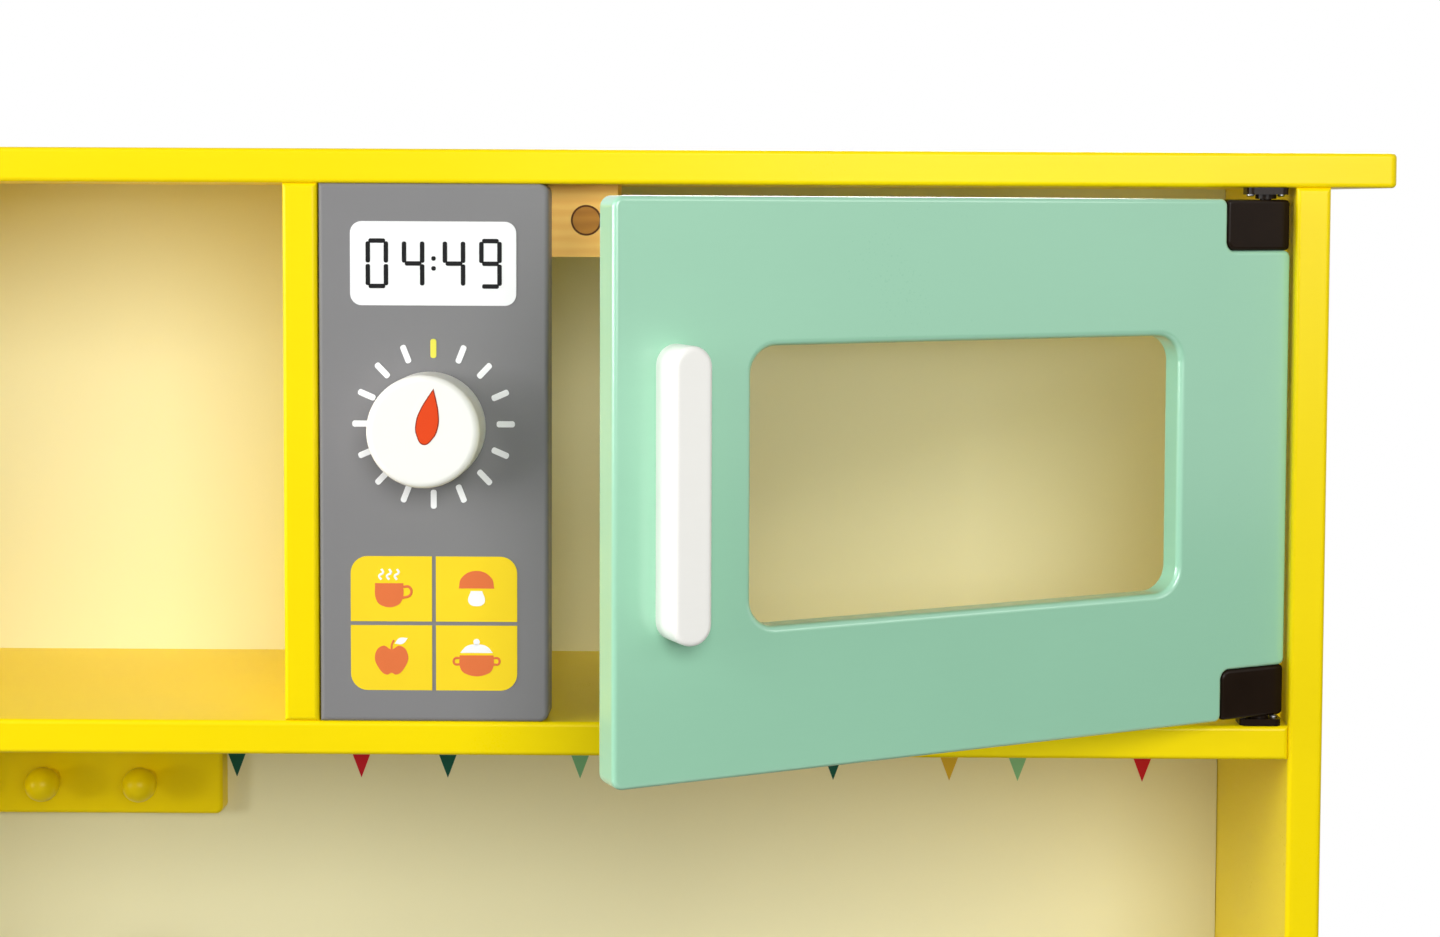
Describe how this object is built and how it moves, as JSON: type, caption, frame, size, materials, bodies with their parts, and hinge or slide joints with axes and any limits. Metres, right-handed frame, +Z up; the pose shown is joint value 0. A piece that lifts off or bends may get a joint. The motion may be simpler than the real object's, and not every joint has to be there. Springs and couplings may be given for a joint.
{
  "type": "toy kitchen",
  "caption": "Free-standing wooden play kitchen with a microwave hutch, peg rail, sink, swivelling faucet, hob, oven and cupboard, with hinged doors and turning knobs.",
  "frame": {"origin": "on the floor, at the bottom centre of the bounding box", "axes": "+X to the user's right as they face the kitchen, +Y from the front to the wall behind, +Z up"},
  "size_m": [0.85, 0.3246, 1],
  "materials": {
    "yellow_board": "satin yellow paint on board",
    "cream_panel": "smooth cream print on thin board",
    "grey_board": "satin grey paint on board",
    "mint_board": "satin mint paint on board",
    "white_wood": "satin white paint on wood",
    "natural_wood": "bare planed pine",
    "black_plastic": "satin moulded plastic",
    "clear_pane": "clear acrylic",
    "steel": "zinc plated",
    "magnet": "dull plug over a magnet",
    "sink_steel": "brushed",
    "grey_wood": "satin grey paint on turned wood"
  },
  "bodies": {
    "carcass": {"left_side_panel": "yellow_board", "right_side_panel": "yellow_board", "top_board": "yellow_board", "hutch_shelf": "yellow_board", "hutch_divider": "yellow_board", "base_divider": "yellow_board", "base_floor": "yellow_board", "oven_floor": "yellow_board", "plinth": "yellow_board", "peg_rail": "yellow_board", "rail_pegs": "yellow_board", "upper_back_panel": "cream_panel", "base_back_panel": "cream_panel", "control_panel": "grey_board", "oven_fascia": "grey_board", "worktop": "grey_board", "microwave_stop_block": "natural_wood", "oven_stop_block": "natural_wood", "cupboard_stop_block": "natural_wood", "microwave_pivot_plates": "black_plastic", "oven_pivot_plates": "black_plastic", "cupboard_pivot_plates": "black_plastic", "left_hob_ring": "black_plastic", "right_hob_ring": "black_plastic", "carcass_screws": "steel", "microwave_magnet": "magnet", "oven_magnet": "magnet", "cupboard_magnet": "magnet", "sink_bowl": "sink_steel", "faucet_post": "grey_wood"},
    "microwave_door": {"microwave_door_panel": "mint_board", "microwave_door_handle": "white_wood", "microwave_hinge_blocks": "black_plastic", "microwave_strike_disc": "steel", "microwave_door_pane": "clear_pane"},
    "oven_door": {"oven_door_panel": "mint_board", "oven_door_handle": "white_wood", "oven_hinge_blocks": "black_plastic", "oven_strike_disc": "steel", "oven_door_pane": "clear_pane"},
    "cupboard_door": {"cupboard_door_panel": "mint_board", "cupboard_door_handle": "white_wood", "cupboard_hinge_blocks": "black_plastic", "cupboard_strike_disc": "steel"},
    "microwave_dial": {"microwave_dial_knob": "white_wood", "microwave_dial_bolt": "steel"},
    "left_oven_dial": {"left_oven_knob": "white_wood", "left_oven_bolt": "steel"},
    "centre_oven_dial": {"centre_oven_knob": "white_wood", "centre_oven_bolt": "steel"},
    "right_oven_dial": {"right_oven_knob": "white_wood", "right_oven_bolt": "steel"},
    "spout": {"faucet_spout": "grey_wood"},
    "left_tap": {"left_tap_handle": "grey_wood"},
    "right_tap": {"right_tap_handle": "grey_wood"}
  },
  "joints": [
    {"name": "microwave_door_hinge", "type": "hinge", "parent": "carcass", "child": "microwave_door", "pos_m": [0.3696, -0.0002, 0.8675], "axis": [0, 0, 1], "range_deg": [-26.8, 83.2]},
    {"name": "oven_door_hinge", "type": "hinge", "parent": "carcass", "child": "oven_door", "pos_m": [0.3696, -0.1302, 0.285], "axis": [0, 0, 1], "range_deg": [0, 110]},
    {"name": "cupboard_door_hinge", "type": "hinge", "parent": "carcass", "child": "cupboard_door", "pos_m": [-0.3696, -0.1302, 0.285], "axis": [0, 0, -1], "range_deg": [0, 110]},
    {"name": "microwave_dial_turn", "type": "hinge", "parent": "carcass", "child": "microwave_dial", "pos_m": [0.007, -0.0077, 0.8794], "axis": [0, -1, 0], "continuous": true},
    {"name": "left_oven_knob_turn", "type": "hinge", "parent": "carcass", "child": "left_oven_dial", "pos_m": [0.04965, -0.1377, 0.4575], "axis": [0, -1, 0], "continuous": true},
    {"name": "centre_oven_knob_turn", "type": "hinge", "parent": "carcass", "child": "centre_oven_dial", "pos_m": [0.16965, -0.1377, 0.4575], "axis": [0, -1, 0], "continuous": true},
    {"name": "right_oven_knob_turn", "type": "hinge", "parent": "carcass", "child": "right_oven_dial", "pos_m": [0.28965, -0.1377, 0.4575], "axis": [0, -1, 0], "continuous": true},
    {"name": "spout_swivel", "type": "hinge", "parent": "carcass", "child": "spout", "pos_m": [-0.21945, 0.1303, 0.55], "axis": [0, 0, 1], "range_deg": [-80, 80]},
    {"name": "left_tap_turn", "type": "hinge", "parent": "carcass", "child": "left_tap", "pos_m": [-0.27145, 0.1303, 0.52], "axis": [0, 0, 1], "continuous": true},
    {"name": "right_tap_turn", "type": "hinge", "parent": "carcass", "child": "right_tap", "pos_m": [-0.16745, 0.1303, 0.52], "axis": [0, 0, 1], "continuous": true}
  ]
}
